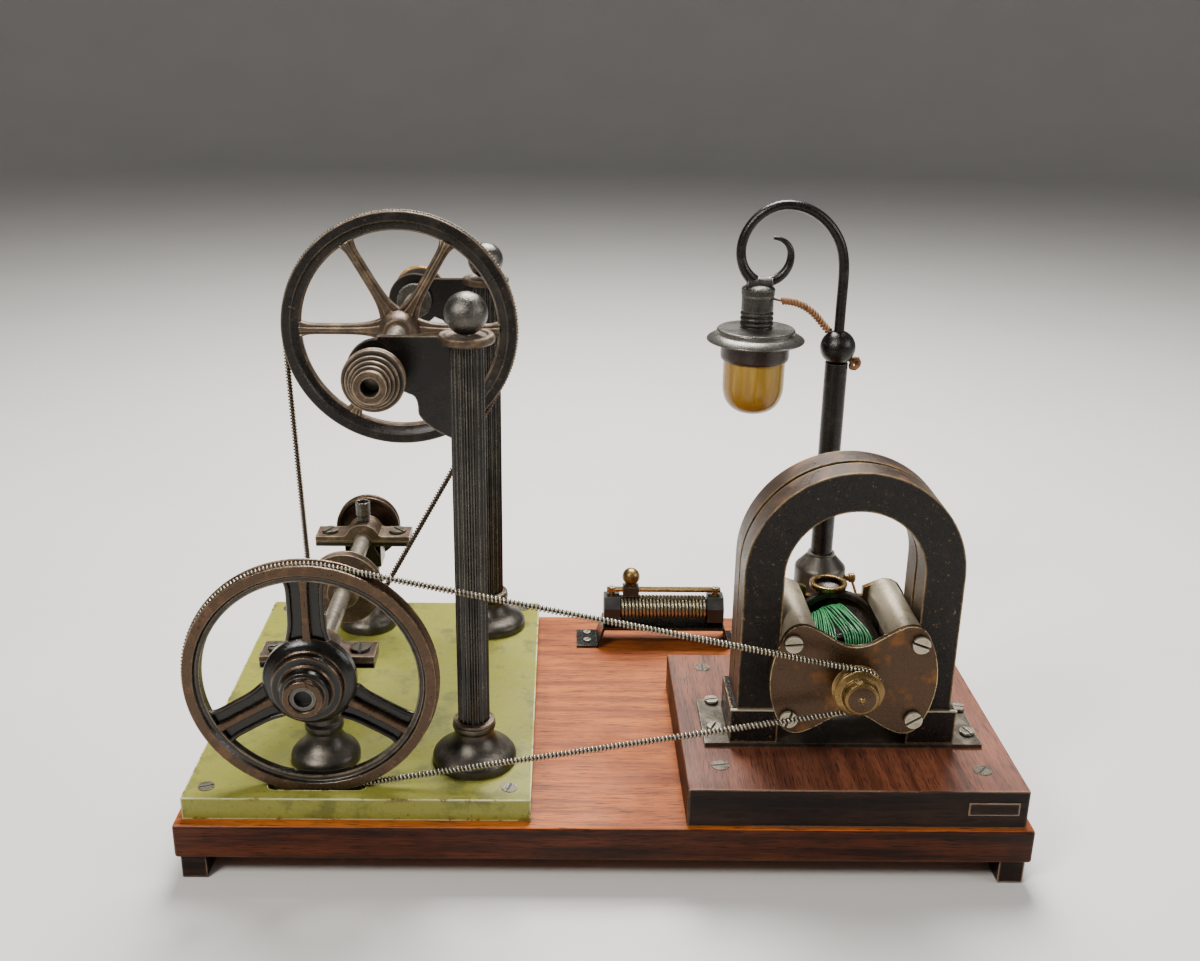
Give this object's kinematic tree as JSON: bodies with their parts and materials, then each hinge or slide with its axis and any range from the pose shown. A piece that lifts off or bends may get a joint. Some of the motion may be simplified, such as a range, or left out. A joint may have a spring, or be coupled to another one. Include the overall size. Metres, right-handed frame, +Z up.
{
  "type": "demonstration lighting plant model",
  "caption": "Tabletop model lighting plant: belt-driven line shafts on a wooden board turn a horseshoe-magnet dynamo beside a swan-neck street lamp and a slide rheostat.",
  "frame": {"origin": "centre of the bounding box in X and Y, at the underside of the two battens (table level)", "axes": "+X along the board to the right, +Y from the belt side to the back, +Z up"},
  "size_m": [0.34, 0.1924, 0.2513],
  "materials": {
    "mahogany": "worn varnish",
    "dark_wood": "dark stain, worn",
    "green_paint": "chipped olive green paint",
    "japanned_black": "worn black japan",
    "worn_iron": "aged, with worn black japan",
    "steel": "dull, aged",
    "brass": "tarnished",
    "magnet_steel": "rough dark lacquer",
    "green_silk": "silk-covered wire",
    "amber_glass": "amber lacquered",
    "clear_glass": "clear",
    "copper_cloth": "copper-brown braid",
    "fibre": "dark fibre"
  },
  "bodies": {
    "stand": {"baseboard": "mahogany", "left_batten": "dark_wood", "right_batten": "dark_wood", "dynamo_block": "dark_wood", "machine_plate": "green_paint", "front_column": "japanned_black", "rear_column": "japanned_black", "front_bracket": "japanned_black", "rear_bracket": "japanned_black", "lamp_base": "japanned_black", "lamp_post": "japanned_black", "lamp_ball": "japanned_black", "swan_neck": "japanned_black", "lamp_socket": "japanned_black", "lamp_shade": "japanned_black", "rheostat_strap": "japanned_black", "front_pedestal": "worn_iron", "rear_pedestal": "worn_iron", "front_bearing_cap": "worn_iron", "rear_bearing_cap": "worn_iron", "front_finial": "steel", "rear_finial": "steel", "drive_belt": "steel", "right_pole_shoe": "steel", "left_pole_shoe": "steel", "rheostat_winding": "steel", "front_oil_cup": "brass", "rear_oil_cup": "brass", "upper_belt": "brass", "front_end_plate": "brass", "rear_end_plate": "brass", "dynamo_oil_cup": "brass", "upper_brush": "brass", "lower_brush": "brass", "rheostat_bar": "brass", "magnet_plate": "magnet_steel", "left_keeper": "magnet_steel", "right_keeper": "magnet_steel", "front_magnet": "magnet_steel", "rear_magnet": "magnet_steel", "lamp_glass": "amber_glass", "lamp_bulb": "clear_glass", "lamp_wire": "copper_cloth", "glass_collar": "fibre", "rheostat_former": "fibre"},
    "counter": {"countershaft": "steel", "front_wheel": "worn_iron", "middle_pulley": "worn_iron", "rear_disc": "brass"},
    "upper": {"upper_shaft": "steel", "upper_wheel": "worn_iron", "front_cone_pulley": "worn_iron", "rear_cone_pulley": "brass"},
    "armature": {"armature_shaft": "steel", "armature_core": "magnet_steel", "armature_winding": "green_silk", "commutator": "brass", "dynamo_pulley": "brass"},
    "wiper": {"rheostat_slider": "fibre", "slider_knob": "brass"}
  },
  "joints": [
    {"name": "counter_spin", "type": "hinge", "parent": "stand", "child": "counter", "pos_m": [-0.11425, 0, 0.0825], "axis": [0, 1, 0], "continuous": true},
    {"name": "upper_spin", "type": "hinge", "parent": "stand", "child": "upper", "pos_m": [-0.08525, 0, 0.20125], "axis": [0, 1, 0], "continuous": true},
    {"name": "armature_spin", "type": "hinge", "parent": "stand", "child": "armature", "pos_m": [0.0985, 0, 0.07925], "axis": [0, 1, 0], "continuous": true},
    {"name": "wiper_slide", "type": "slide", "parent": "stand", "child": "wiper", "axis": [1, 0, 0], "range_m": [-0.0015, 0.033]}
  ],
  "couplings": [
    {"joint": "upper_spin", "follows": "counter_spin", "ratio": 0.32305},
    {"joint": "armature_spin", "follows": "counter_spin", "ratio": 5.6207}
  ]
}
